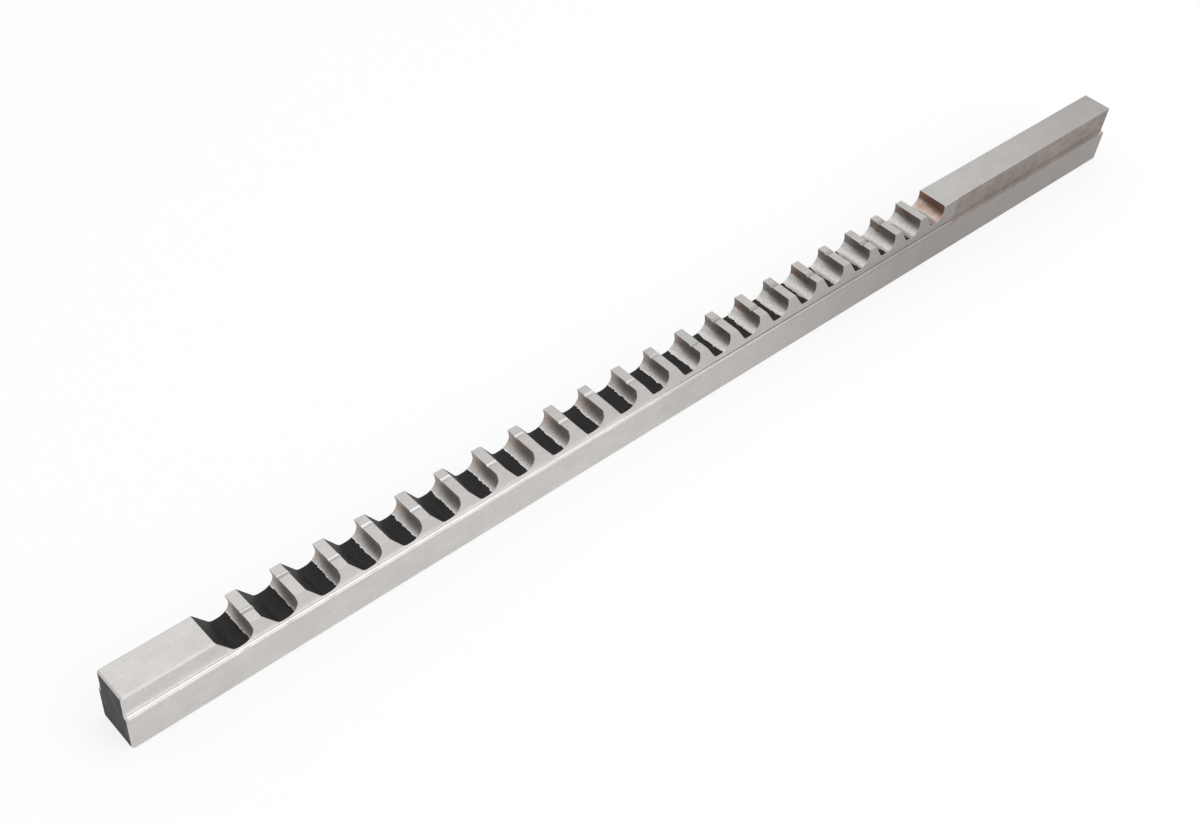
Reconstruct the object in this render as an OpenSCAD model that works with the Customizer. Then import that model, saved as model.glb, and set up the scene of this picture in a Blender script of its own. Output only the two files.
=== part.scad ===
// Push-type keyway broach: one ground bar of tool steel with a stepped section.
// It lies on its flat back, teeth up, pilot towards -X and shank towards +X.
// The lower body slides in a slotted bushing; the narrower blade above cuts the keyway.

/* [Section] */
// Width of the blade, which is the width of the keyway it cuts
blade_w = 7.94; // [5:0.01:16]
// Width of the shoulder on each side of the blade
ledge_w = 0.79; // [0.3:0.01:3]
// Height of the shoulders above the flat back
body_h = 8.7; // [5:0.05:16]
// Height of the pilot's top above the shoulders
pilot_rise = 5.5; // [3:0.05:10]

/* [Lengths] */
// Length of the plain pilot, from the front face to the first gullet
pilot_len = 18.5; // [8:0.05:60]
// Length of the plain shank, from its front face to the end the press pushes
shank_len = 72.85; // [20:0.05:150]

/* [Teeth] */
// Number of cutting teeth
tooth_count = 21; // [3:1:40]
// Distance from one cutting edge to the next
tooth_pitch = 9.525; // [9:0.005:16]
// Height of the first cutting edge above the pilot
first_cut = 0.1; // [0:0.01:0.5]
// Height that each tooth gains on the one before
tooth_step = 0.075; // [0.01:0.005:0.15]
// Length of the land behind each cutting edge
land_len = 2.4; // [1:0.05:3]
// Angle at which the land falls away behind its cutting edge
land_relief = 2; // [0:0.25:5]
// Forward lean of the cutting face
hook_angle = 15; // [2:0.5:20]

/* [Gullets] */
// Depth of the first gullet below its cutting edge
gullet_depth = 5; // [3.5:0.05:5.5]
// Height that each gullet's floor gains on the one before
floor_step = 0.1; // [0.03:0.005:0.12]
// Slope of the tooth's back down into the gullet
back_angle = 53; // [50:0.5:75]
// Radius of the ground root under the cutting face
root_r = 2.5; // [0.5:0.05:2.8]
// Radius where the tooth's back runs into the floor
heel_r = 1.5; // [0.2:0.05:1.7]

/* [Chip breakers] */
// Width of each chip breaker across the land
nick_w = 1.1; // [0.5:0.05:2]
// Depth of each chip breaker
nick_depth = 0.35; // [0.1:0.05:0.5]
// Distance of the odd teeth's chip breakers from the middle, towards -Y
nick_odd = 1.1; // [0:0.05:2.5]
// Distance of the even teeth's chip breakers from the middle, towards +Y
nick_even = 1.5; // [0:0.05:2.5]

/* [Shank] */
// Height of the last cutting edge above the shank's top
shank_drop = 0.1; // [0:0.01:0.5]
// Length behind the shank's front face that is still ground to the blade's width
runout_len = 5.6; // [1:0.1:15]
// Depth to which each side of the shank is relieved behind that
shank_relief = 0.1; // [0.01:0.01:0.5]

/* [Edges] */
// Bevel along the top edges of the pilot
pilot_bevel = 0.4; // [0.1:0.05:1]
// Bevel along the top edges of the shank
shank_bevel = 0.25; // [0.1:0.05:1]
// Bevel along the bottom edges of the back
back_bevel = 0.3; // [0.1:0.05:1]
// Bevel around the pilot's front face
front_bevel = 0.35; // [0.1:0.05:1]
// Bevel around the shank's end face
rear_bevel = 0.8; // [0.1:0.05:1.5]
// Radius in the corner between the shoulder and the blade
corner_r = 0.25; // [0.1:0.05:0.3]

/* [Hidden] */
$fn = 64;

body_w = blade_w + 2 * ledge_w;
shank_w = blade_w - 2 * shank_relief;
pilot_h = body_h + pilot_rise;
gullet_len = tooth_pitch - land_len;
first_edge_x = pilot_len + gullet_len;
shank_x = first_edge_x + tooth_count * tooth_pitch;
runout_x = shank_x + runout_len;
overall_len = shank_x + shank_len;
last_tooth_h = tooth_h(tooth_count - 1);
shank_h = last_tooth_h - shank_drop;
// Height lost from a cutting edge to the rear of its land
land_drop = land_len * tan(land_relief);
// Radius of the round groove that is nick_w wide at nick_depth
nick_r = (nick_w * nick_w / 4 + nick_depth * nick_depth) / (2 * nick_depth);
// Distance by which cutting shapes pass the faces they cut
clear = 1;
// Distance by which a round cuts past the straight runs it joins, so that they meet in a clean line
bite = 0.01;

// Height of a cutting edge above the back; teeth count from 0
function tooth_h(i) = pilot_h + first_cut + i * tooth_step;
// Height of the floor of the gullet before that edge
function floor_h(i) = tooth_h(0) - gullet_depth + i * floor_step;
// Place of a cutting edge behind the front face
function edge_x(i) = first_edge_x + i * tooth_pitch;

// A section in Y and Z, carried along X
module along_x(length) {
    rotate([90, 0, 90]) linear_extrude(length) children();
}

// A side view in X and Z, carried across Y
module across_y(width) {
    rotate([90, 0, 0]) linear_extrude(width, center = true) children();
}

// Plan of a bar of the given width, with both ends bevelled
module bevelled_plan(width) {
    polygon([
        [0, -width / 2 + front_bevel],
        [front_bevel, -width / 2],
        [overall_len - rear_bevel, -width / 2],
        [overall_len, -width / 2 + rear_bevel],
        [overall_len, width / 2 - rear_bevel],
        [overall_len - rear_bevel, width / 2],
        [front_bevel, width / 2],
        [0, width / 2 - front_bevel],
    ]);
}

// Lower bar with its two shoulders, bevelled along the back and at the ends
module body_bar() {
    intersection() {
        along_x(overall_len) polygon([
            [-body_w / 2 + back_bevel, 0],
            [body_w / 2 - back_bevel, 0],
            [body_w / 2, back_bevel],
            [body_w / 2, body_h],
            [-body_w / 2, body_h],
            [-body_w / 2, back_bevel],
        ]);
        linear_extrude(body_h) bevelled_plan(body_w);
        across_y(body_w) polygon([
            [front_bevel, 0],
            [overall_len - rear_bevel, 0],
            [overall_len, rear_bevel],
            [overall_len, body_h - rear_bevel],
            [overall_len - rear_bevel, body_h],
            [front_bevel, body_h],
            [0, body_h - front_bevel],
            [0, front_bevel],
        ]);
    }
}

// Small round left by the wheel in the corner between shoulder and blade
module corner_rounds() {
    for (side = [-1, 1])
        translate([front_bevel, side * blade_w / 2, body_h])
            difference() {
                translate([0, -corner_r, -corner_r])
                    cube([runout_x - front_bevel, 2 * corner_r, 2 * corner_r]);
                translate([-clear, side * (corner_r - bite), corner_r - bite])
                    rotate([0, 90, 0]) cylinder(r = corner_r, h = overall_len);
            }
}

// Blade before its gullets are cut: pilot, tooth row at full height, relieved shank
module blade_bar() {
    intersection() {
        across_y(body_w) polygon([
            [front_bevel, 0],
            [overall_len - rear_bevel, 0],
            [overall_len, rear_bevel],
            [overall_len, shank_h - rear_bevel],
            [overall_len - rear_bevel, shank_h],
            [shank_x, shank_h],
            [shank_x, last_tooth_h],
            [pilot_len, last_tooth_h],
            [pilot_len, pilot_h],
            [front_bevel, pilot_h],
            [0, pilot_h - front_bevel],
            [0, front_bevel],
        ]);
        linear_extrude(last_tooth_h) bevelled_plan(blade_w);
    }
}

// Space on both sides of the shank that the relief takes away
module shank_reliefs() {
    for (side = [-1, 1])
        translate([runout_x, side * (shank_w + blade_w) / 2 - blade_w / 2, body_h])
            cube([shank_len, blade_w, last_tooth_h]);
}

// Long triangular cuts that bevel both top edges of the blade where its top has the given height
module top_bevels(from_x, to_x, height, bevel) {
    for (side = [0, 1])
        mirror([0, side, 0])
            translate([from_x, blade_w / 2, height])
                along_x(to_x - from_x) polygon([
                    [-bevel - clear, clear],
                    [clear, -bevel - clear],
                    [clear, clear],
                ]);
}

// Gullet in front of a cutting edge, with the space above the land behind that edge.
// The face and the back run into the floor in two true arcs, the root and the heel.
module gullet(edge_h, back_h, base_h, land) {
    root_d = root_r - bite;
    root_z = base_h + root_d;
    root_x = ((edge_h - root_z) * sin(hook_angle) - root_d) / cos(hook_angle);
    heel_d = heel_r - bite;
    heel_z = base_h + heel_d;
    heel_x = (heel_d - (heel_z - back_h) * cos(back_angle)) / sin(back_angle) - gullet_len;
    sky_h = last_tooth_h + clear;
    cut_w = body_w + 2 * clear;
    across_y(cut_w) polygon([
        [land, edge_h - land * tan(land_relief)],
        [0, edge_h],
        [root_x + root_d * cos(hook_angle), root_z + root_d * sin(hook_angle)],
        [root_x, base_h],
        [heel_x, base_h],
        [heel_x - heel_d * sin(back_angle), heel_z - heel_d * cos(back_angle)],
        [-gullet_len, back_h],
        [-gullet_len, sky_h],
        [land, sky_h],
    ]);
    translate([root_x, 0, root_z]) across_y(cut_w) circle(root_r);
    translate([heel_x, 0, heel_z]) across_y(cut_w) circle(heel_r);
}

// All gullets: before each tooth, and one more before the shank
module gullets() {
    for (i = [0 : tooth_count])
        translate([edge_x(i), 0, 0])
            gullet(
                edge_h = i < tooth_count ? tooth_h(i) : shank_h,
                back_h = i > 0 ? tooth_h(i - 1) - land_drop : pilot_h,
                base_h = floor_h(i),
                land = i < tooth_count ? land_len : 0
            );
}

// Round grooves along the lands that split the chip, staggered from tooth to tooth.
// The last tooth sizes the keyway and has none.
module chip_breakers() {
    for (i = [0 : tooth_count - 2])
        translate([edge_x(i), i % 2 == 0 ? -nick_odd : nick_even, tooth_h(i) - nick_depth + nick_r])
            rotate([0, 90 + land_relief, 0])
                translate([0, 0, -clear])
                    cylinder(r = nick_r, h = land_len + 2 * clear);
}

module keyway_broach() {
    color("silver")
        translate([-overall_len / 2, 0, 0])
            difference() {
                union() {
                    body_bar();
                    blade_bar();
                    corner_rounds();
                }
                gullets();
                chip_breakers();
                shank_reliefs();
                top_bevels(-clear, pilot_len + gullet_len / 2, pilot_h, pilot_bevel);
                top_bevels(shank_x - gullet_len / 2, overall_len + clear, shank_h, shank_bevel);
            }
}

keyway_broach();
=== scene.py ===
"""Looks of a push-type keyway broach: the ground bar, its finishes, and a small photo studio.

The bar lies on its flat back with its teeth up, pilot towards -X and shank towards +X.
All lengths are in metres.
"""
import math
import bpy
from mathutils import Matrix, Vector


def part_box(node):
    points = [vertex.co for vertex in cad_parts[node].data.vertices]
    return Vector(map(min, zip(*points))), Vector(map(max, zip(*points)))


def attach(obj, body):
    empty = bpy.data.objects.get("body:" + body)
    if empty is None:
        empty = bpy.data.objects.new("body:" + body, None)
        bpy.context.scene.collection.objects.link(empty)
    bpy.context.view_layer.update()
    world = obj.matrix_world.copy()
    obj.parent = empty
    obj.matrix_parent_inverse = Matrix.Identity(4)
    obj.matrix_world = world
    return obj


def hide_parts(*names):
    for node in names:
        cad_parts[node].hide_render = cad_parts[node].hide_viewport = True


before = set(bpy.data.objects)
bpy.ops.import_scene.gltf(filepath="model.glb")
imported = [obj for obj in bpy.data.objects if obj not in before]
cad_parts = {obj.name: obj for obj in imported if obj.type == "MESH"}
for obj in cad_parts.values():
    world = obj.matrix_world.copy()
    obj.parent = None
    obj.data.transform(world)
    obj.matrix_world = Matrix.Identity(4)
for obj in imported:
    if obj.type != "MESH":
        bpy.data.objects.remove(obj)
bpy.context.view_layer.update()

from types import SimpleNamespace

import bmesh
import bpy
import numpy as np
from bpy.props import FloatProperty, FloatVectorProperty, IntProperty, PointerProperty
from mathutils import Quaternion, Vector

bl_info = {
    "name": "Keyway Broach",
    "version": (1, 0, 0),
    "blender": (4, 5, 0),
    "location": "3D View > Sidebar > Broach",
    "description": "Builds a ground keyway broach and the studio it stands in",
    "category": "Add Mesh",
}

MM = 0.001


def millimetres(*lengths):
    """Lengths given in millimetres, as metres."""
    return tuple(each * MM for each in lengths)


NODE = "keyway_broach"
BODY = "root"
NODE_LOW, NODE_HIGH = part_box(NODE)
OVERALL_LEN = NODE_HIGH[0] - NODE_LOW[0]
BODY_W = NODE_HIGH[1] - NODE_LOW[1]
LAST_TOOTH_H = NODE_HIGH[2] - NODE_LOW[2]

# How finely each part of the surface is cut
NICK_STEPS = 10
FLAT_STEPS = 4
CORNER_STEPS = 5
PILOT_STEPS = 6
SHANK_STEPS = 8

# Stations along each run of a gullet and along its land, as shares of the run
SLOPE_SHARES = np.array([0.0, 0.045, 0.09, 0.3, 0.65, 1.0])[:, None]
HEEL_SHARES = np.linspace(0, 1, 8)[1:, None]
FLOOR_SHARES = np.linspace(0, 1, 4)[1:-1, None]
ROOT_SHARES = np.linspace(0, 1, 14)[:, None]
FACE_SHARES = np.array([0.22, 0.44, 0.66, 0.87, 1.0])[:, None]
LAND_SHARES = np.linspace(0, 1, 5)[:, None]

# Stations of one gullet before the lowest line of its root, and before its land
BEFORE_ROOT = len(SLOPE_SHARES) + len(HEEL_SHARES) + len(FLOOR_SHARES)
BEFORE_LAND = BEFORE_ROOT + len(ROOT_SHARES) + len(FACE_SHARES)

# Strips of a side, numbered from the top's edge down: bevel or edge break, wall, foot of the wall,
# corner round, flat shoulder and its edge break; the body's side and the back's bevel follow
EDGE_STRIP, WALL_STRIP, FOOT_STRIP, ROUND_STRIP = range(4)
LEDGE_STRIP = ROUND_STRIP + CORNER_STEPS
BREAK_STRIP = LEDGE_STRIP + 1
SIDE_STRIPS = BREAK_STRIP + 3

# Height of the foot of the wall, which has the corner's painted shade
WALL_FOOT = 0.25 * MM
# Strips of the corner round, from the wall down, that have the corner's painted shade; the rest have the
# shoulder's
SHADED_ROUND = 3
# Lines across the shank's bevel lean a little more than its hooked face, so that no two of them meet
BEVEL_LEAN = 1.2
# Angle between two faces from which the edge between them looks sharp
SHARP_ANGLE = math.radians(25)

# Finishes by place in the mesh's material list
FLANK, LEDGE, CORNER, TOP, EDGE, GULLET, NICK, RELIEF, END = range(9)

# Edge of the black scale in a gullet, from the root's lowest line towards the face: its place on the first
# tooth, its way down the floor until the last one, what it gains in mid-width, and how late it moves
SCALE_START, SCALE_FALL, SCALE_BOW = millimetres(1.45, 2.3, 0.7)
SCALE_DELAY = 3.5
# Waves by which that edge wanders from tooth to tooth: height, turn per tooth, turn at the first tooth
SCALE_WAVES = ((0.3 * MM, 0.73, 0.57), (0.26 * MM, 1.35, 0.72))
# Raggedness of that edge, and half the width over which it fades
SCALE_RAGGED, SCALE_FADE = millimetres(0.18, 0.04)
# Distances from that edge between which the lighter strip beside it fades
BRIGHT_STRIP_FADE = millimetres(0.05, 0.3)
# Distance from that edge that is given to surfaces which no scale reaches
CLEAN = 10 * MM

# Stretches along X over which surfaces take on another colour: painted shade on the flanks, shoulders,
# corner rounds and last chip breakers, painted highlight on the middle chip breakers, and a darker tone on
# the tops
FLANK_SHADE_STRETCH = millimetres(-45, 90)
SHOULDER_SHADE_STRETCH = millimetres(-45, 165)
CORNER_SHADE_STRETCH = millimetres(-35, 5)
TOP_END_STRETCH = millimetres(75, 160)
NICK_GLINT = millimetres(-112, -95)

# Lengths of the grains in the finishes, along X, Y and Z
GROUND_LINES = millimetres(30, 0.1, 0.1)
GROUND_CLOUD = millimetres(5, 3, 3)
GROUND_SPECK = millimetres(0.5, 0.35, 0.35)
RELIEF_LINES = millimetres(8, 0.4, 0.4)
SCALE_TEAR = millimetres(0.7, 0.5, 0.7)
SCALE_SWAY = millimetres(2, 1.3, 2)
SCALE_CRUST = millimetres(0.25, 0.25, 0.25)
FACE_LINES = millimetres(0.08, 4, 0.08)
FACE_SPECK = millimetres(0.3, 0.45, 0.3)
HEAT_PATCH = millimetres(3, 3, 3)
END_CRUST = millimetres(0.4, 0.4, 0.4)
END_CLOUD = millimetres(3, 3, 3)

# Depth of the relief that ground lines and scale have
LINE_DEPTH, CRUST_DEPTH = millimetres(0.003, 0.01)
# Shares of the row between which the cutting faces change from the first teeth's look to the last ones'
LATE_TEETH = (0.4, 0.7)
# Power of the row's share that leaves only the shank's own face
SHANK_ONLY = 60.0

WHITE = (1.0, 1.0, 1.0, 1.0)
FLOOR_GAP = 0.02 * MM
SENSOR_WIDTH_MM = 36
CLIP_NEAR = 10 * MM
CLIP_FAR = 20


def length(name, description, default):
    """A length that a user may change; its default is in millimetres."""
    return FloatProperty(
        name=name, description=description, default=default * MM, min=0.0, unit="LENGTH", precision=5
    )


def angle(name, description, degrees):
    """An angle that a user may change."""
    return FloatProperty(
        name=name, description=description, default=math.radians(degrees), subtype="ANGLE"
    )


def number(name, description, default, **settings):
    """A number from 0 up that a user may change."""
    return FloatProperty(name=name, description=description, default=default, min=0.0, **settings)


def colour(name, description, default):
    """A colour that a user may change."""
    return FloatVectorProperty(
        name=name, description=description, default=default, min=0.0, max=1.0, subtype="COLOR"
    )


def place(name, description, point):
    """A point that a user may move; its default is in millimetres."""
    return FloatVectorProperty(
        name=name,
        description=description,
        default=millimetres(*point),
        subtype="TRANSLATION",
        unit="LENGTH",
    )


class BroachSizes(bpy.types.PropertyGroup):
    """Sizes of the bar. Its length, body width and greatest height come from the frame."""

    ledge_w: length("Shoulder width", "Width of the shoulder on each side of the blade", 0.79)
    body_h: length("Shoulder height", "Height of the shoulders above the flat back", 8.7)
    shank_len: length("Shank length", "From the shank's front face to the end the press pushes", 72.85)
    tooth_count: IntProperty(name="Teeth", description="Number of cutting teeth", default=21, min=3)
    tooth_pitch: length("Pitch", "Distance from one cutting edge to the next", 9.525)
    first_cut: length("First cut", "Height of the first cutting edge above the pilot", 0.1)
    tooth_step: length("Tooth rise", "Height that each tooth gains on the one before", 0.075)
    land_len: length("Land", "Length of the land behind each cutting edge", 2.4)
    land_relief: angle("Land relief", "Angle at which the land falls away behind its edge", 2)
    hook_angle: angle("Hook", "Forward lean of the cutting face", 15)
    gullet_depth: length("Gullet depth", "Depth of the first gullet below its cutting edge", 5)
    floor_step: length("Floor rise", "Height that each gullet's floor gains on the one before", 0.1)
    back_angle: angle("Back slope", "Slope of the tooth's back down into the gullet", 53)
    root_r: length("Root radius", "Radius of the ground root under the cutting face", 2.5)
    heel_r: length("Heel radius", "Radius where the tooth's back runs into the floor", 1.5)
    nick_w: length("Chip breaker width", "Width of each chip breaker across the land", 1.1)
    nick_depth: length("Chip breaker depth", "Depth of each chip breaker", 0.35)
    nick_odd: length("Odd chip breakers", "Distance from the middle towards -Y on the odd teeth", 1.1)
    nick_even: length("Even chip breakers", "Distance from the middle towards +Y on the even teeth", 1.5)
    shank_drop: length("Shank drop", "Height of the last cutting edge above the shank's top", 0.1)
    runout_len: length("Run-out", "Length of the shank that is still ground to the blade's width", 5.6)
    shank_relief: length("Shank relief", "Depth to which each side of the shank is relieved", 0.1)
    pilot_bevel: length("Pilot bevel", "Bevel along the top edges of the pilot", 0.4)
    shank_bevel: length("Shank bevel", "Bevel along the top edges of the shank", 0.25)
    back_bevel: length("Back bevel", "Bevel along the bottom edges of the back", 0.3)
    front_bevel: length("Front bevel", "Bevel around the pilot's front face", 0.35)
    rear_bevel: length("Rear bevel", "Bevel around the shank's end face", 0.8)
    corner_r: length("Corner radius", "Radius in the corner between the shoulder and the blade", 0.25)
    edge_break: length("Edge break", "Width of the fine break that honing leaves on every sharp edge", 0.04)


class BroachFinish(bpy.types.PropertyGroup):
    """Colours of the bar's surfaces."""

    steel: colour("Ground steel", "Ground flanks", (0.60, 0.583, 0.567))
    # Flanks towards the shank: painted shade for the dimmer surroundings that they reflect there
    end_tone: colour("Flank film", "Flanks near the shank, under their film of temper", (0.30, 0.277, 0.263))
    # Shoulders are lighter than the flanks of the same steel: painted highlight; towards the shank painted
    # shade darkens them
    shoulder: colour("Shoulders", "Ground shoulders", (0.78, 0.77, 0.755))
    shoulder_shade: colour("Shoulder film", "Shoulders near the shank", (0.62, 0.57, 0.547))
    # Corner rounds, wall feet and the shoulders' outer edge breaks: painted shade in the corner, darker
    # towards the shank
    corner: colour("Corner rounds", "Rounds between the shoulders and the blade", (0.55, 0.535, 0.52))
    corner_shade: colour("Corner film", "Corner rounds near the shank", (0.235, 0.212, 0.203))
    top: colour("Ground tops", "Pilot's top, lands and shank's top", (0.51, 0.496, 0.483))
    # Tops and bevels darken towards the shank's end
    top_end_tone: colour("Top film", "Shank's top at its end", (0.40, 0.378, 0.361))
    # Bevels and edge breaks are a little darker than the tops: painted shade for the darker surroundings
    # that they reflect
    edge: colour("Bevels", "Bevels and edge breaks beside the tops", (0.485, 0.472, 0.46))
    # Chip breakers: darker on the first and last teeth as painted shade in the groove, lighter on the teeth
    # between as a painted highlight
    nick: colour("Chip breakers", "First teeth's chip breakers", (0.42, 0.413, 0.404))
    nick_glint: colour("Bright chip breakers", "Next teeth's chip breakers", (0.55, 0.542, 0.53))
    nick_shade: colour("Chip breaker film", "Last teeth's chip breakers", (0.375, 0.362, 0.35))
    bright: colour("Bright steel", "Ground roots", (0.51, 0.495, 0.478))
    # Colours of the dark band on the upper cutting faces, first and last teeth: painted reflection of the
    # black scale, in a brown tone
    face: colour("Cutting faces", "First teeth's faces, under a thin film of heat", (0.45, 0.385, 0.343))
    reflection_band: colour("Dark faces", "Last teeth's faces, under a thick film of heat", (0.305, 0.277, 0.245))
    temper: colour("Temper brown", "Brown that heat leaves on steel near the shank", (0.56, 0.33, 0.24))
    scale: colour("Heat scale", "Black scale from hardening", (0.017, 0.0155, 0.0155))
    relief: colour("Relieved steel", "Shank's sides, which no wheel has touched", (0.27, 0.235, 0.21))


class BroachStage(bpy.types.PropertyGroup):
    """Floor, lamps and camera of the studio."""

    floor_size: length("Floor size", "Side of the square floor", 6000)
    floor_colour: colour("Floor", "Colour of the floor", (0.9, 0.9, 0.9))
    floor_glow: number("Floor glow", "Share of the floor that shows as plain white", 0.75, max=1.0)
    sky: colour("Sky", "Light of the room from all round", (0.85, 0.85, 0.85))
    overhead: place("Overhead lamp", "Place of the lamp above the far side", (-40, 340, 620))
    overhead_side: length("Overhead size", "Side of the lamp above the far side", 550)
    overhead_light: number("Overhead light", "Brightness of the lamp above the far side", 0.45)
    front: place("Front lamp", "Place of the lamp above the near side", (120, -410, 550))
    front_side: length("Front size", "Side of the lamp above the near side", 600)
    front_light: number("Front light", "Brightness of the lamp above the near side", 1.45)
    eye: place("Camera", "Place of the camera", (-207.885, -153.424, 235.526))
    aim: place("Aim", "Point that the camera looks at", (-36.292, 1.109, 0))
    roll: angle("Roll", "Turn of the camera about its line of sight", 7.3)
    lens: number("Lens", "Focal length in millimetres", 46.334, subtype="DISTANCE_CAMERA")
    shift: FloatVectorProperty(
        name="Shift", description="Shift of the frame", default=(0.01195, 0.02662), size=2
    )


def derive(sizes):
    """Lengths that follow from the sizes and from the frame's box.

    X counts from the front face here; the finished mesh is moved so that it fills the frame's box.
    """
    bar = SimpleNamespace()
    bar.half_body = BODY_W / 2
    bar.half_blade = BODY_W / 2 - sizes.ledge_w
    bar.half_shank = bar.half_blade - sizes.shank_relief
    bar.gullet_len = sizes.tooth_pitch - sizes.land_len
    bar.shank_x = OVERALL_LEN - sizes.shank_len
    bar.runout_x = bar.shank_x + sizes.runout_len
    bar.first_edge_x = bar.shank_x - sizes.tooth_count * sizes.tooth_pitch
    bar.pilot_len = bar.first_edge_x - bar.gullet_len
    bar.first_tooth_h = LAST_TOOTH_H - (sizes.tooth_count - 1) * sizes.tooth_step
    bar.pilot_h = bar.first_tooth_h - sizes.first_cut
    bar.shank_h = LAST_TOOTH_H - sizes.shank_drop
    bar.land_drop = sizes.land_len * math.tan(sizes.land_relief)
    bar.nick_r = (sizes.nick_w ** 2 / 4 + sizes.nick_depth ** 2) / (2 * sizes.nick_depth)
    return bar


def run(start, end, shares):
    """Values from start to end, at the given shares of the way."""
    return start + (end - start) * shares


def line(start, end, shares):
    """Points on a straight line in the side view, at the given shares of its length."""
    return run(start[0], end[0], shares), run(start[1], end[1], shares)


def arc(centre, radius, start, end, shares):
    """Points on a circle in the side view: centre + radius (cos a, sin a), a going from start to end."""
    turn = run(start, end, shares)
    return centre[0] + radius * np.cos(turn), centre[1] + radius * np.sin(turn)


def columns(sizes, bar):
    """Places across the blade at which its top is cut.

    They lie evenly on the flats, and at even turns round each chip breaker's circle.
    """
    reach = math.asin(sizes.nick_w / 2 / bar.nick_r)
    circle = bar.nick_r * np.sin(np.linspace(-reach, reach, NICK_STEPS + 1))
    odd, even = circle - sizes.nick_odd, circle + sizes.nick_even
    edge = bar.half_blade - sizes.edge_break
    return np.concatenate([
        np.linspace(-edge, odd[0], FLAT_STEPS + 1)[:-1],
        odd,
        np.linspace(odd[-1], even[0], FLAT_STEPS + 1)[1:-1],
        even,
        np.linspace(even[-1], edge, FLAT_STEPS + 1)[1:],
    ])


def nick_depths(sizes, bar, tooth, across):
    """Depth of the chip breakers at each tooth and column: a circle's height over its chord, and else 0.

    The last tooth sizes the keyway and has none, and neither has the shank, which counts as one tooth more.
    """
    middle = np.where(tooth % 2 == 0, -sizes.nick_odd, sizes.nick_even)
    off = np.minimum(np.abs(across - middle), sizes.nick_w / 2)
    depth = np.sqrt(bar.nick_r ** 2 - off ** 2) - (bar.nick_r - sizes.nick_depth)
    return np.where(tooth < sizes.tooth_count - 1, np.maximum(depth, 0), 0)


def scale_edge(sizes, bar, tooth, across):
    """Place of the black scale's edge in each gullet, from the root's lowest line towards the face.

    The wheel that grinds the faces goes further down the floor from tooth to tooth, furthest in mid-width.
    """
    row = (tooth / sizes.tooth_count) ** SCALE_DELAY
    bow = SCALE_BOW * (1 - (across / bar.half_blade) ** 2)
    wander = sum(height * np.sin(turn * tooth + begin) for height, turn, begin in SCALE_WAVES)
    return SCALE_START - row * (SCALE_FALL + bow) + wander


def gullet_runs(sizes, bar, tooth, depth):
    """X and Z of every gullet and of the land behind it, as arrays of teeth by stations by columns.

    Each gullet is five runs: the straight back of the tooth before, the heel arc, the flat floor, the root
    arc and the straight cutting face. The land follows as one straight run. A chip breaker lowers the land
    by its depth, which moves the cutting edge down the face and the land's rear corner down the back.
    """
    hook, relief, back = sizes.hook_angle, sizes.land_relief, sizes.back_angle
    edge_x = bar.first_edge_x + sizes.tooth_pitch * tooth
    tooth_h = bar.first_tooth_h + sizes.tooth_step * tooth
    edge_h = np.where(tooth < sizes.tooth_count, tooth_h, bar.shank_h)
    back_h = np.where(tooth > 0, tooth_h - sizes.tooth_step - bar.land_drop, bar.pilot_h)
    floor_h = bar.first_tooth_h - sizes.gullet_depth + sizes.floor_step * tooth

    # Corner behind the land before the gullet, cutting edge, and corner behind its own land
    slip = depth / (math.tan(back) - math.tan(relief))
    slip_before = np.concatenate([np.zeros_like(slip[:1]), slip[:-1]])
    drop = depth / (1 - math.tan(hook) * math.tan(relief))
    corner_x = edge_x - bar.gullet_len + slip_before
    corner_z = back_h - slip_before * math.tan(back)
    tip_x, tip_z = edge_x + drop * math.tan(hook), edge_h - drop
    rear_x = edge_x + sizes.land_len + slip
    rear_z = edge_h - bar.land_drop - slip * math.tan(back)

    # Centres of the heel's circle, which touches the back and the floor, and of the root's
    heel_z = floor_h + sizes.heel_r
    heel_in = (sizes.heel_r - (heel_z - back_h) * math.cos(back)) / math.sin(back)
    heel_x = edge_x - bar.gullet_len + heel_in
    root_z = floor_h + sizes.root_r
    root_x = edge_x + ((edge_h - root_z) * math.sin(hook) - sizes.root_r) / math.cos(hook)

    fine = sizes.edge_break
    down = 1.5 * math.pi
    slope = line(
        (corner_x + fine * math.cos(back), corner_z - fine * math.sin(back)),
        (heel_x - sizes.heel_r * math.sin(back), heel_z - sizes.heel_r * math.cos(back)),
        SLOPE_SHARES,
    )
    heel = arc((heel_x, heel_z), sizes.heel_r, down - back, down, HEEL_SHARES)
    floor = line((heel_x, floor_h), (root_x, floor_h), FLOOR_SHARES)
    root = arc((root_x, root_z), sizes.root_r, down, 2 * math.pi + hook, ROOT_SHARES)
    face = line(
        (root[0][:, -1:], root[1][:, -1:]),
        (tip_x + fine * math.sin(hook), tip_z - fine * math.cos(hook)),
        FACE_SHARES,
    )
    land = line(
        (tip_x + fine * math.cos(relief), tip_z - fine * math.sin(relief)),
        (rear_x - fine * math.cos(relief), rear_z + fine * math.sin(relief)),
        LAND_SHARES,
    )

    def joined(axis):
        """One coordinate of all runs, one after the other, at full width."""
        parts = [part[axis] + np.zeros_like(depth) for part in (slope, heel, floor, root, face, land)]
        return np.concatenate(parts, axis=1)

    return joined(0), joined(1)


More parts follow.
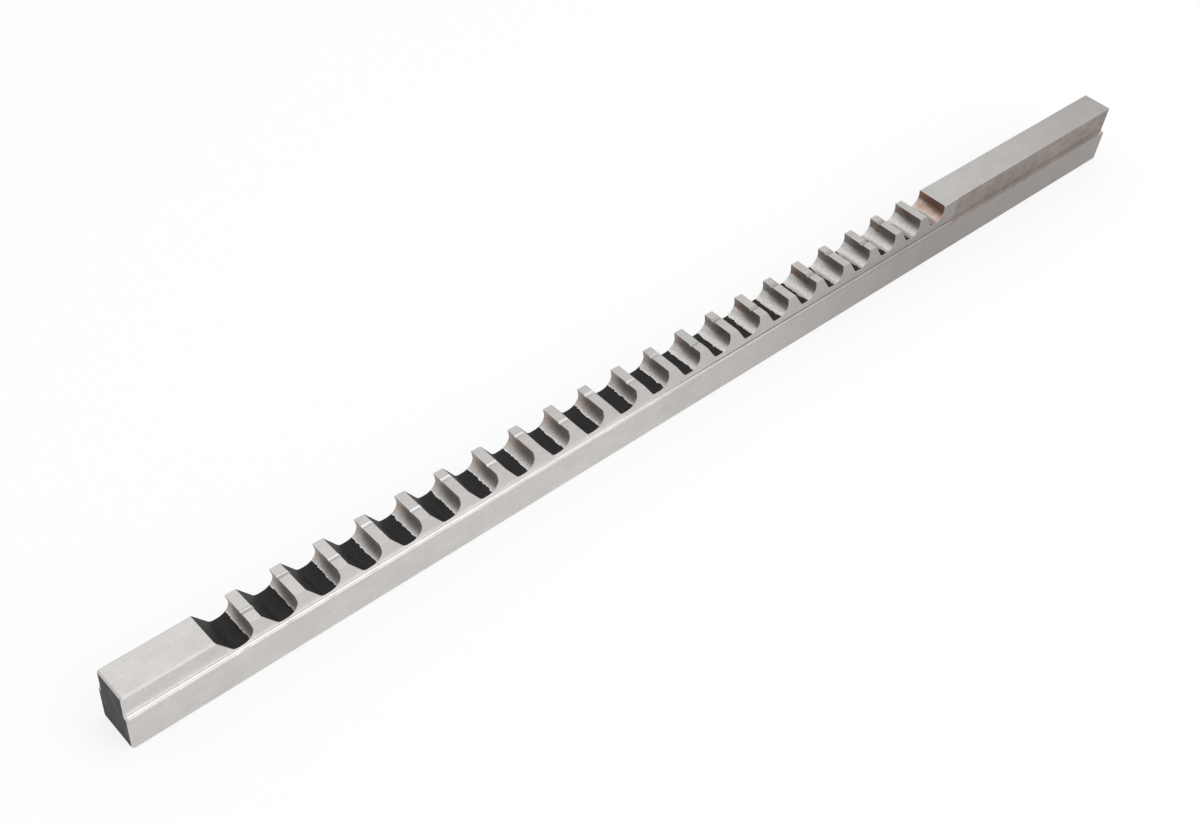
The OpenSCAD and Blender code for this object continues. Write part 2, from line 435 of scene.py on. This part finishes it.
def tooth_row(sizes, bar, across):
    """Tops of all gullets and lands, in order, as arrays of stations by columns.

    Beside X and Z these are the distance from the black scale, the share of the row that lies before, the
    height up the cutting face from 0 to 1, and whether there is a chip breaker. Each station also has its
    finish, and a mark where it lies on a root or a hooked face.
    """
    tooth = np.arange(sizes.tooth_count + 1)[:, None, None]
    depth = nick_depths(sizes, bar, tooth, across)
    x, z = gullet_runs(sizes, bar, tooth, depth)

    # Way along the surface from the root's lowest line, up the face one way and up the back the other
    steps = np.hypot(np.diff(x, axis=1), np.diff(z, axis=1))
    way = np.concatenate([np.zeros_like(x[:, :1]), np.cumsum(steps, axis=1)], axis=1)
    above = way - way[:, [BEFORE_ROOT]]
    clean = above - scale_edge(sizes, bar, tooth, across)
    clean[:, BEFORE_LAND:] = CLEAN

    station = np.arange(x.shape[1])
    zone = np.where(station < BEFORE_LAND, GULLET, TOP)
    hooked = (station > BEFORE_ROOT) & (station < BEFORE_LAND + 2)
    arrays = dict(
        x=x,
        z=z,
        clean=clean,
        row=np.broadcast_to(tooth / sizes.tooth_count, x.shape),
        lift=np.clip(above / above[:, [BEFORE_LAND - 1]], 0, 1),
        nicked=np.broadcast_to(depth > 0, x.shape),
        zone=np.broadcast_to(zone, x.shape[:2]),
        hooked=np.broadcast_to(hooked, x.shape[:2]),
    )
    # The shank has no land, so its gullet's last stations are left off
    keep = x.shape[0] * x.shape[1] - len(LAND_SHARES)
    return {name: values.reshape(-1, *values.shape[2:])[:keep] for name, values in arrays.items()}


def plain_top(stations, height, across):
    """Stations of a flat top at the given places along the bar, with no scale and no chip breakers."""
    x = stations[:, None] * np.ones_like(across)
    return dict(
        x=x,
        z=np.full_like(x, height),
        clean=np.full_like(x, CLEAN),
        row=np.zeros_like(x),
        lift=np.zeros_like(x),
        nicked=np.zeros_like(x, dtype=bool),
        zone=np.full(len(stations), TOP),
        hooked=np.zeros(len(stations), dtype=bool),
    )


def bar_top(sizes, bar):
    """The whole top, from the pilot's front face over the teeth to the shank's end."""
    across = columns(sizes, bar)
    fine = sizes.edge_break
    pilot_x = np.linspace(sizes.front_bevel, bar.pilot_len - fine, PILOT_STEPS)
    pilot_x = np.concatenate([[0.0], pilot_x])
    shank_x = np.linspace(bar.runout_x + fine, OVERALL_LEN - sizes.rear_bevel, SHANK_STEPS)
    shank_x = np.concatenate([[bar.shank_x + fine, bar.runout_x], shank_x, [OVERALL_LEN]])
    runs = [
        plain_top(pilot_x, bar.pilot_h, across),
        tooth_row(sizes, bar, across),
        plain_top(shank_x, bar.shank_h, across),
    ]
    top = SimpleNamespace(**{name: np.concatenate([part[name] for part in runs]) for name in runs[0]})
    top.across = across
    top.pilot_end = len(pilot_x)
    top.shank_start = len(top.zone) - len(shank_x)
    # The shank's first line belongs to the wall beside its hooked face
    top.hooked[top.shank_start] = True
    return top


def side_edges(sizes, bar, top, inset, relieved):
    """Upper edge of the sides at each station: its distance outside the top's edge, its X and its Z.

    On a bevel it lies straight below the top's edge, or leans with the shank's hooked face. On a fine break
    it lies square to the profile, whose direction is the mean of the runs before and after.
    """
    station = np.arange(len(top.zone))
    fine = sizes.edge_break
    in_pilot = station < top.pilot_end + len(SLOPE_SHARES)
    in_shank = station >= top.shank_start - len(FACE_SHARES)
    bevel_z = np.where(in_pilot, bar.pilot_h - sizes.pilot_bevel, bar.shank_h - sizes.shank_bevel)
    above = top.z[:, 0] - bevel_z - np.where(relieved, sizes.shank_relief, 0)
    rim = np.where(in_pilot | in_shank, np.maximum(above, fine), fine)
    rim[[0, -1]] = fine

    x, z = top.x[:, 0], top.z[:, 0] - inset
    step = np.stack([np.diff(x), np.diff(z)])
    step /= np.linalg.norm(step, axis=0)
    along = np.concatenate([step[:, :1], step[:, :-1] + step[:, 1:], step[:, -1:]], axis=1)
    along /= np.linalg.norm(along, axis=0)
    lean = np.where(in_shank & top.hooked, BEVEL_LEAN * math.tan(sizes.hook_angle), 0)
    bevelled = rim > fine
    edge_x = x + rim * np.where(bevelled, lean, along[1])
    edge_z = z - rim * np.where(bevelled, 1, along[0])
    return rim, edge_x, edge_z


def sections(sizes, bar, top):
    """Rings of points round the bar, one per station of its top, and which of them the relief reaches.

    A ring goes over the top's columns, then down one side over the shoulder to the back, and up the other
    side. It is square to the bar, except under a root and its hooked face, where lower points spread evenly.
    """
    count = len(top.zone)
    square = np.flatnonzero(~top.hooked)
    square_x = np.interp(np.arange(count), square, top.x[square, 0])
    relieved = square_x > bar.runout_x

    # The end rings are set in by the bevel around the end faces
    inset = np.zeros(count)
    inset[0], inset[-1] = sizes.front_bevel, sizes.rear_bevel
    half = np.where(relieved, bar.half_shank, bar.half_blade) - inset
    body = bar.half_body - inset
    ledge_z = sizes.body_h - inset

    rim, edge_x, edge_z = side_edges(sizes, bar, top, inset, relieved)
    top_y = top.across * ((half - rim) / top.across[-1])[:, None]
    top_z = top.z - inset[:, None]

    # One side from its upper edge down: wall, corner round, shoulder, body and back bevel
    fine = sizes.edge_break
    turn = np.linspace(math.pi, 1.5 * math.pi, CORNER_STEPS + 1)
    round_y = half[:, None] + sizes.corner_r * (1 + np.cos(turn))
    round_z = ledge_z[:, None] + sizes.corner_r * (1 + np.sin(turn))
    foot_z = round_z[:, 0] + WALL_FOOT
    back_z = sizes.back_bevel + inset
    side_x = np.column_stack([edge_x] + [square_x] * (SIDE_STRIPS - 1))
    side_y = np.column_stack([half, half, round_y, body - fine, body, body, body - sizes.back_bevel])
    side_z = np.column_stack([edge_z, foot_z, round_z, ledge_z, ledge_z - fine, back_z, inset])

    x = np.concatenate([top.x, side_x, side_x[:, ::-1]], axis=1)
    y = np.concatenate([top_y, side_y, -side_y[:, ::-1]], axis=1)
    z = np.concatenate([top_z, side_z, side_z[:, ::-1]], axis=1)
    return np.stack([x + NODE_LOW[0], y, z + NODE_LOW[2]], axis=-1), relieved


def quad_finishes(top, relieved, ring, strips):
    """Finish of each quad between neighbouring rings."""
    shade_end = ROUND_STRIP + SHADED_ROUND
    finish = np.full((len(top.zone) - 1, ring), FLANK)
    zone = top.zone[:-1, None]
    nicked = top.nicked[:-1, :-1] | top.nicked[:-1, 1:]
    finish[:, :len(top.across) - 1] = np.where(nicked & (zone == TOP), NICK, zone)
    finish[:, strips[EDGE_STRIP]] = EDGE
    # Wall foot and upper corner round: painted shade in the corner
    finish[1:-1, strips[FOOT_STRIP:shade_end].ravel()] = CORNER
    # Shoulders: painted highlight, darkened by painted shade towards the shank
    finish[1:-1, strips[shade_end:BREAK_STRIP].ravel()] = LEDGE
    # The shoulder's outer edge break also takes the corner's painted shade
    finish[1:-1, strips[BREAK_STRIP]] = CORNER
    finish[np.ix_(relieved[:-1], strips[WALL_STRIP:LEDGE_STRIP].ravel())] = RELIEF
    finish[np.ix_(relieved[:-1], strips[BREAK_STRIP])] = FLANK
    return finish


def bar_faces(top, relieved, ring):
    """Faces of the bar, as lists of their corners, and the finish of each.

    Quads join neighbouring rings. Beside each root and hooked face, the side wall is one flat face instead,
    and so is each end of the bar.
    """
    count = len(top.zone)
    order = np.arange(SIDE_STRIPS)
    strips = np.stack([len(top.across) - 1 + order, ring - 1 - order], axis=1)
    ring_start = np.arange(count - 1)[:, None] * ring
    first = ring_start + np.arange(ring)
    after = ring_start + (np.arange(ring) + 1) % ring
    quads = np.stack([first, first + ring, after + ring, after], axis=-1)
    kept = np.ones((count - 1, ring), dtype=bool)
    kept[np.ix_(top.hooked[:-1] | top.hooked[1:], strips[WALL_STRIP])] = False

    walls = []
    turns = np.diff(top.hooked.astype(int))
    for start, end in zip(np.flatnonzero(turns == 1), np.flatnonzero(turns == -1) + 1):
        there = np.arange(start, end + 1) * ring
        for strip in strips[WALL_STRIP]:
            walls.append(np.concatenate([there + strip, there[::-1] + strip + 1]).tolist())
    ends = [np.arange(ring).tolist(), (np.arange(ring)[::-1] + (count - 1) * ring).tolist()]

    finish = quad_finishes(top, relieved, ring, strips)[kept]
    finish = np.concatenate([finish, np.full(len(walls), FLANK), np.full(len(ends), END)])
    return quads[kept].tolist() + walls + ends, finish


def bar_surface(sizes):
    """Points, faces, finishes and attributes of the whole bar: a section carried along the top's profile."""
    bar = derive(sizes)
    top = bar_top(sizes, bar)
    rings, relieved = sections(sizes, bar, top)
    ring = rings.shape[1]
    faces, finish = bar_faces(top, relieved, ring)
    sides = ((0, 0), (0, ring - len(top.across)))
    attributes = {
        "clean": np.pad(top.clean, sides, constant_values=CLEAN).ravel(),
        "row": np.pad(top.row, sides).ravel(),
        "lift": np.pad(top.lift, sides).ravel(),
    }
    return rings.reshape(-1, 3), faces, finish, attributes


class Nodes:
    """Adds and links the nodes of a material or of the room."""

    def __init__(self, tree):
        self.tree = tree

    def feed(self, socket, value):
        """Links a socket to another, or sets its value."""
        if isinstance(value, bpy.types.NodeSocket):
            self.tree.links.new(value, socket)
        else:
            socket.default_value = value

    def add(self, kind, inputs=None, **settings):
        """A new node with its settings and inputs."""
        made = self.tree.nodes.new("ShaderNode" + kind)
        for name, value in settings.items():
            setattr(made, name, value)
        for name, value in (inputs or {}).items():
            self.feed(made.inputs[name], value)
        return made

    def math(self, operation, first, second):
        """Sum, product or the like of two numbers."""
        made = self.add("Math", operation=operation)
        self.feed(made.inputs[0], first)
        self.feed(made.inputs[1], second)
        return made.outputs["Value"]

    def blend(self, amount, first, second):
        """Colour that goes from first to second while amount goes from 0 to 1."""
        made = self.add("Mix", data_type="RGBA")
        by_name = {socket.identifier: socket for socket in made.inputs}
        self.feed(by_name["Factor_Float"], amount)
        self.feed(by_name["A_Color"], first)
        self.feed(by_name["B_Color"], second)
        return next(socket for socket in made.outputs if socket.identifier == "Result_Color")

    def seen(self):
        """1 where the camera sees the surface, directly, in a reflection or through glass, and else 0."""
        ray = self.add("LightPath").outputs
        reflected = self.math("MAXIMUM", ray["Is Glossy Ray"], ray["Is Transmission Ray"])
        return self.math("MAXIMUM", ray["Is Camera Ray"], reflected)


class Finish(Nodes):
    """A procedural material: nodes that feed one metal and roughness shader."""

    def __init__(self, name):
        self.material = bpy.data.materials.new(name)
        self.material.use_nodes = True
        super().__init__(self.material.node_tree)
        self.shader = self.tree.nodes["Principled BSDF"]
        self.object_place = self.add("TexCoord").outputs["Object"]

    def grain(self, size, detail=2.0, rough=0.5):
        """Noise from 0 to 1 whose grains have the given lengths along X, Y and Z."""
        scale = [1 / edge for edge in size]
        moved = self.add("Mapping", {"Vector": self.object_place, "Scale": scale}, vector_type="POINT")
        inputs = {"Vector": moved.outputs["Vector"], "Scale": 1.0, "Detail": detail, "Roughness": rough}
        return self.add("TexNoise", inputs).outputs["Fac"]

    def attribute(self, name):
        """A number stored on the mesh."""
        return self.add("Attribute", attribute_name=name).outputs["Fac"]

    def between(self, value, start, end, low, high, smooth=False):
        """Number that goes from low to high while value goes from start to end."""
        inputs = {"Value": value, "From Min": start, "From Max": end, "To Min": low, "To Max": high}
        kind = "SMOOTHSTEP" if smooth else "LINEAR"
        return self.add("MapRange", inputs, interpolation_type=kind).outputs["Result"]

    def rise(self, value, start, end):
        """Number that goes smoothly from 0 to 1 while value goes from start to end."""
        return self.between(value, start, end, 0, 1, smooth=True)

    def fade(self, amount, low, high):
        """Number that goes from low to high while amount goes from 0 to 1."""
        return self.between(amount, 0, 1, low, high)

    def around(self, noise, middle, swing, spread=0.2):
        """Number that swings about its middle while a noise goes by spread to either side of 0.5."""
        return self.between(noise, 0.5 - spread, 0.5 + spread, middle - swing, middle + swing)

    def plain(self, rgb):
        """One colour everywhere."""
        made = self.add("RGB").outputs["Color"]
        made.default_value = shade(rgb)
        return made

    def scaled(self, rgb, factor):
        """A colour times a number."""
        made = self.add("VectorMath", {"Scale": factor}, operation="SCALE")
        self.feed(made.inputs[0], rgb)
        return made.outputs["Vector"]

    def bump(self, height, depth):
        """Surface normal of a relief that is the given depth where height is 1."""
        inputs = {"Height": height, "Distance": depth, "Strength": 1.0}
        return self.add("Bump", inputs).outputs["Normal"]

    def surface(self, **inputs):
        """Feeds the shader and gives the finished material."""
        for name, value in inputs.items():
            label = name.replace("_", " ").title().replace("Ior", "IOR")
            self.feed(self.shader.inputs[label], value)
        return self.material


def shade(rgb, factor=1.0):
    """A colour made lighter or darker, with full opacity."""
    return [min(1.0, channel * factor) for channel in rgb] + [1.0]


def ground_finish(name, rgb, rough, lines=GROUND_LINES, cloudy=0.05, end_tones=()):
    """Ground steel: fine lines along the wheel's path over a soft cloud of lighter and darker patches.

    Other colours grow over it one by one along the bar, each over its own stretch: painted shade, a painted
    highlight on some chip breakers, and a darker tone on the tops.
    """
    finish = Finish(name)
    grooves = finish.grain(lines, detail=3.0)
    cloud = finish.grain(GROUND_CLOUD, detail=4.0, rough=0.6)
    speck = finish.grain(GROUND_SPECK, detail=3.0, rough=0.6)
    tone = finish.around(cloud, 1, cloudy)
    tone = finish.math("MULTIPLY", tone, finish.around(grooves, 1, 0.05, spread=0.25))
    tone = finish.math("MULTIPLY", tone, finish.around(speck, 1, 0.06))
    along = finish.add("SeparateXYZ", {"Vector": finish.object_place}).outputs["X"]
    coat = finish.plain(rgb)
    for end_tone, stretch in end_tones:
        coat = finish.blend(finish.rise(along, *stretch), coat, shade(end_tone))
    return finish.surface(
        base_color=finish.scaled(coat, tone),
        metallic=1.0,
        roughness=finish.around(grooves, rough, 0.05),
        normal=finish.bump(grooves, LINE_DEPTH),
    )


def gullet_finish(colours):
    """Gullet: black scale that ends in a ragged line, a bright ground root, and a dark band on the face.

    The band is a painted reflection of the black scale, in a brown tone; it begins softly on the first teeth
    and with a clear line on the last ones. Brown heat colours run through it in patches, and cover the
    shank's own face.
    """
    finish = Finish("gullet")
    row = finish.attribute("row")
    lift = finish.attribute("lift")
    late = finish.rise(row, *LATE_TEETH)
    shank = finish.math("POWER", row, SHANK_ONLY)
    torn = finish.grain(SCALE_TEAR, detail=5.0, rough=0.7)
    sway = finish.grain(SCALE_SWAY)
    crust = finish.grain(SCALE_CRUST, detail=4.0, rough=0.6)
    grooves = finish.grain(FACE_LINES)
    speck = finish.grain(FACE_SPECK, detail=4.0, rough=0.65)
    heat = finish.grain(HEAT_PATCH)

    # Steel is bare beyond the scale's ragged edge, and lighter in a strip beside it on the first teeth
    ragged = finish.around(torn, 0, SCALE_RAGGED, spread=0.25)
    bare = finish.math("ADD", finish.attribute("clean"), ragged)
    bare = finish.math("ADD", bare, finish.around(sway, 0, SCALE_RAGGED))
    ground = finish.rise(bare, -SCALE_FADE, SCALE_FADE)
    bright_strip = finish.between(bare, *BRIGHT_STRIP_FADE, 1, 0, smooth=True)
    bright_strip = finish.math("MULTIPLY", bright_strip, finish.fade(late, 0.55, 0))

    # The dark band, a painted reflection of the black scale, covers the face from a middle height up, softly
    # or sharply
    middle = finish.fade(late, 0.43, 0.58)
    soft = finish.fade(late, 0.2, 0.045)
    height = finish.math("ADD", lift, finish.around(torn, 0, 0.03, spread=0.25))
    reflection_band = finish.rise(height, finish.math("SUBTRACT", middle, soft), finish.math("ADD", middle, soft))
    patches = finish.math("MULTIPLY", finish.between(heat, 0.5, 0.62, 0, 0.7), late)
    dark = finish.blend(late, shade(colours.face), shade(colours.reflection_band))
    dark = finish.blend(finish.math("MAXIMUM", patches, shank), dark, shade(colours.temper, 0.5))

    # The root below it is bright, and brown on the shank
    tint = finish.math("MULTIPLY", shank, finish.rise(lift, 0.1, 0.3))
    tint = finish.math("MULTIPLY", tint, finish.between(heat, 0.35, 0.6, 0.4, 1))
    root = finish.blend(late, shade(colours.bright), shade(colours.bright, 1.1))
    root = finish.blend(tint, root, shade(colours.temper, 0.8))

    tone = finish.around(grooves, 1, 0.06, spread=0.25)
    tone = finish.math("ADD", tone, finish.around(speck, 0, 0.24))
    steel = finish.blend(bright_strip, finish.blend(reflection_band, root, dark), shade(colours.bright, 1.7))
    pits, crests = shade(colours.scale, 0.3), shade(colours.scale, 1.9)
    black = finish.blend(finish.around(crust, 0.5, 0.5), pits, crests)
    relief = finish.fade(ground, crust, finish.math("MULTIPLY", grooves, 0.2))
    return finish.surface(
        base_color=finish.blend(ground, black, finish.scaled(steel, tone)),
        metallic=ground,
        roughness=finish.fade(ground, 0.6, finish.fade(reflection_band, 0.45, 0.6)),
        normal=finish.bump(relief, CRUST_DEPTH),
        specular_ior_level=0.2,
    )


def end_finish(colours):
    """End face: the same black scale, dulled by handling."""
    finish = Finish("scaled_end")
    crust = finish.grain(END_CRUST, detail=4.0, rough=0.6)
    cloud = finish.grain(END_CLOUD, detail=3.0)
    black = finish.blend(crust, shade(colours.scale, 0.6), shade(colours.scale, 1.3))
    worn = finish.between(cloud, 0.4, 0.7, 0, 0.5)
    return finish.surface(
        base_color=finish.blend(worn, black, shade(colours.scale, 1.4)),
        metallic=0.0,
        roughness=finish.around(cloud, 0.525, 0.075),
        normal=finish.bump(crust, CRUST_DEPTH),
        specular_ior_level=0.13,
    )


def bar_finishes(colours):
    """The bar's materials, in the order of its finishes."""
    # Colours that grow in along the bar: painted shade, a painted highlight on chip breakers, and darker
    # tops
    flank_shades = [(colours.end_tone, FLANK_SHADE_STRETCH)]
    shoulder_shades = [(colours.shoulder_shade, SHOULDER_SHADE_STRETCH)]
    corner_shades = [(colours.corner_shade, CORNER_SHADE_STRETCH)]
    top_end_tones = [(colours.top_end_tone, TOP_END_STRETCH)]
    nick_highlight_and_shades = [(colours.nick_glint, NICK_GLINT), (colours.nick_shade, CORNER_SHADE_STRETCH)]
    return [
        ground_finish("ground_flank", colours.steel, rough=0.42, end_tones=flank_shades),
        ground_finish("ground_shoulder", colours.shoulder, rough=0.36, end_tones=shoulder_shades),
        ground_finish("corner_round", colours.corner, rough=0.36, end_tones=corner_shades),
        ground_finish("ground_top", colours.top, rough=0.38, end_tones=top_end_tones),
        ground_finish("edge_break", colours.edge, rough=0.45, end_tones=top_end_tones),
        gullet_finish(colours),
        ground_finish("chip_breaker", colours.nick, rough=0.4, end_tones=nick_highlight_and_shades),
        ground_finish("shank_relief", colours.relief, rough=0.5, lines=RELIEF_LINES, cloudy=0.2),
        end_finish(colours),
    ]


def new_object(name, data):
    """An object in the scene, at the origin."""
    made = bpy.data.objects.new(name, data)
    bpy.context.scene.collection.objects.link(made)
    return made


def cut_flat_faces(mesh):
    """Cuts the flat faces that have more than four corners into well-shaped triangles."""
    work = bmesh.new()
    work.from_mesh(mesh)
    flat = [face for face in work.faces if len(face.verts) > 4]
    bmesh.ops.triangulate(work, faces=flat, ngon_method="BEAUTY")
    work.to_mesh(mesh)
    work.free()


class BROACH_OT_bar(bpy.types.Operator):
    """Builds the ground bar with its teeth and finishes"""

    bl_idname = "broach.bar"
    bl_label = "Bar"

    def execute(self, context):
        points, faces, finish, attributes = bar_surface(context.scene.broach_sizes)
        mesh = bpy.data.meshes.new("broach_bar")
        mesh.from_pydata(points, [], faces)
        for name, values in attributes.items():
            layer = mesh.attributes.new(name, "FLOAT", "POINT")
            layer.data.foreach_set("value", values)
        for material in bar_finishes(context.scene.broach_finish):
            mesh.materials.append(material)
        mesh.polygons.foreach_set("material_index", finish)
        cut_flat_faces(mesh)
        mesh.shade_smooth()
        mesh.set_sharp_from_angle(angle=SHARP_ANGLE)
        if mesh.validate(verbose=True):
            raise RuntimeError("the bar's mesh had faults")
        bar = new_object("broach_bar", mesh)
        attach(bar, BODY)
        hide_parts(NODE)
        return {"FINISHED"}


def floor_material(stage):
    """Pale floor that shows as nearly white, directly and in reflections, but takes the bar's shadow."""
    finish = Finish("floor")
    tree = finish.tree
    matt = finish.add("BsdfDiffuse", {"Color": shade(stage.floor_colour)})
    glow = finish.add("Emission", {"Color": WHITE, "Strength": 1.0})
    mixed = finish.add("MixShader", {"Fac": finish.math("MULTIPLY", finish.seen(), stage.floor_glow)})
    tree.links.new(matt.outputs["BSDF"], mixed.inputs[1])
    tree.links.new(glow.outputs["Emission"], mixed.inputs[2])
    tree.links.new(mixed.outputs["Shader"], tree.nodes["Material Output"].inputs["Surface"])
    tree.nodes.remove(finish.shader)
    return finish.material


def add_floor(stage):
    """Square floor just below the bar's back."""
    half = stage.floor_size / 2
    below = NODE_LOW[2] - FLOOR_GAP
    corners = [(-half, -half, below), (half, -half, below), (half, half, below), (-half, half, below)]
    mesh = bpy.data.meshes.new("floor")
    mesh.from_pydata(corners, [], [(0, 1, 2, 3)])
    mesh.materials.append(floor_material(stage))
    new_object("floor", mesh)


def look(target, eye, aim, roll=0.0):
    """Sets a lamp or camera at eye, looking at aim and turned about that line."""
    target.location = eye
    target.rotation_mode = "QUATERNION"
    facing = (Vector(aim) - Vector(eye)).to_track_quat("-Z", "Y")
    target.rotation_quaternion = facing @ Quaternion((0, 0, 1), roll)


def add_lamp(name, eye, side, brightness):
    """Square softbox of the given side that shines at the origin.

    Its power follows from its brightness and area.
    """
    lamp = bpy.data.lights.new(name, "AREA")
    lamp.shape = "SQUARE"
    lamp.size = side
    lamp.energy = brightness * math.pi * side ** 2
    look(new_object(name, lamp), eye, (0, 0, 0))


def add_camera(stage):
    """Camera of the photo's view."""
    camera = bpy.data.cameras.new("camera")
    camera.sensor_width = SENSOR_WIDTH_MM
    camera.lens = stage.lens
    camera.shift_x, camera.shift_y = stage.shift
    camera.clip_start = CLIP_NEAR
    camera.clip_end = CLIP_FAR
    made = new_object("camera", camera)
    look(made, stage.eye, stage.aim, stage.roll)
    bpy.context.scene.camera = made


def room(stage):
    """Room that lights the bar softly from all round, and shows as white, directly and in reflections."""
    world = bpy.data.worlds.new("room")
    world.use_nodes = True
    nodes = Nodes(world.node_tree)
    light = nodes.blend(nodes.seen(), shade(stage.sky), WHITE)
    nodes.feed(nodes.tree.nodes["Background"].inputs["Color"], light)
    return world


class BROACH_OT_stage(bpy.types.Operator):
    """Sets up the floor, the soft light and the camera"""

    bl_idname = "broach.stage"
    bl_label = "Stage"

    def execute(self, context):
        stage = context.scene.broach_stage
        add_floor(stage)
        add_lamp("overhead", stage.overhead, stage.overhead_side, stage.overhead_light)
        add_lamp("front", stage.front, stage.front_side, stage.front_light)
        context.scene.world = room(stage)
        add_camera(stage)
        context.scene.view_settings.view_transform = "Standard"
        return {"FINISHED"}


class BROACH_PT_panel(bpy.types.Panel):
    """Lists the broach's sizes, finishes, stage and operators"""

    bl_label = "Keyway Broach"
    bl_idname = "BROACH_PT_panel"
    bl_space_type = "VIEW_3D"
    bl_region_type = "UI"
    bl_category = "Broach"

    def draw(self, context):
        for operator in OPERATORS:
            self.layout.operator(operator.bl_idname)
        for name, group in GROUPS.items():
            box = self.layout.box()
            box.label(text=group.__name__)
            for value in group.__annotations__:
                box.prop(getattr(context.scene, name), value)


GROUPS = {"broach_sizes": BroachSizes, "broach_finish": BroachFinish, "broach_stage": BroachStage}
OPERATORS = (BROACH_OT_bar, BROACH_OT_stage)
CLASSES = (*GROUPS.values(), *OPERATORS, BROACH_PT_panel)


def register():
    """Adds the classes to Blender and the settings to its scenes."""
    for made in CLASSES:
        bpy.utils.register_class(made)
    for name, group in GROUPS.items():
        setattr(bpy.types.Scene, name, PointerProperty(type=group))


def unregister():
    """Takes the settings and the classes away again."""
    for name in GROUPS:
        delattr(bpy.types.Scene, name)
    for made in reversed(CLASSES):
        bpy.utils.unregister_class(made)


def main():
    """Builds the bar and the stage."""
    register()
    bpy.ops.broach.bar()
    bpy.ops.broach.stage()


if __name__ == "__main__":
    main()
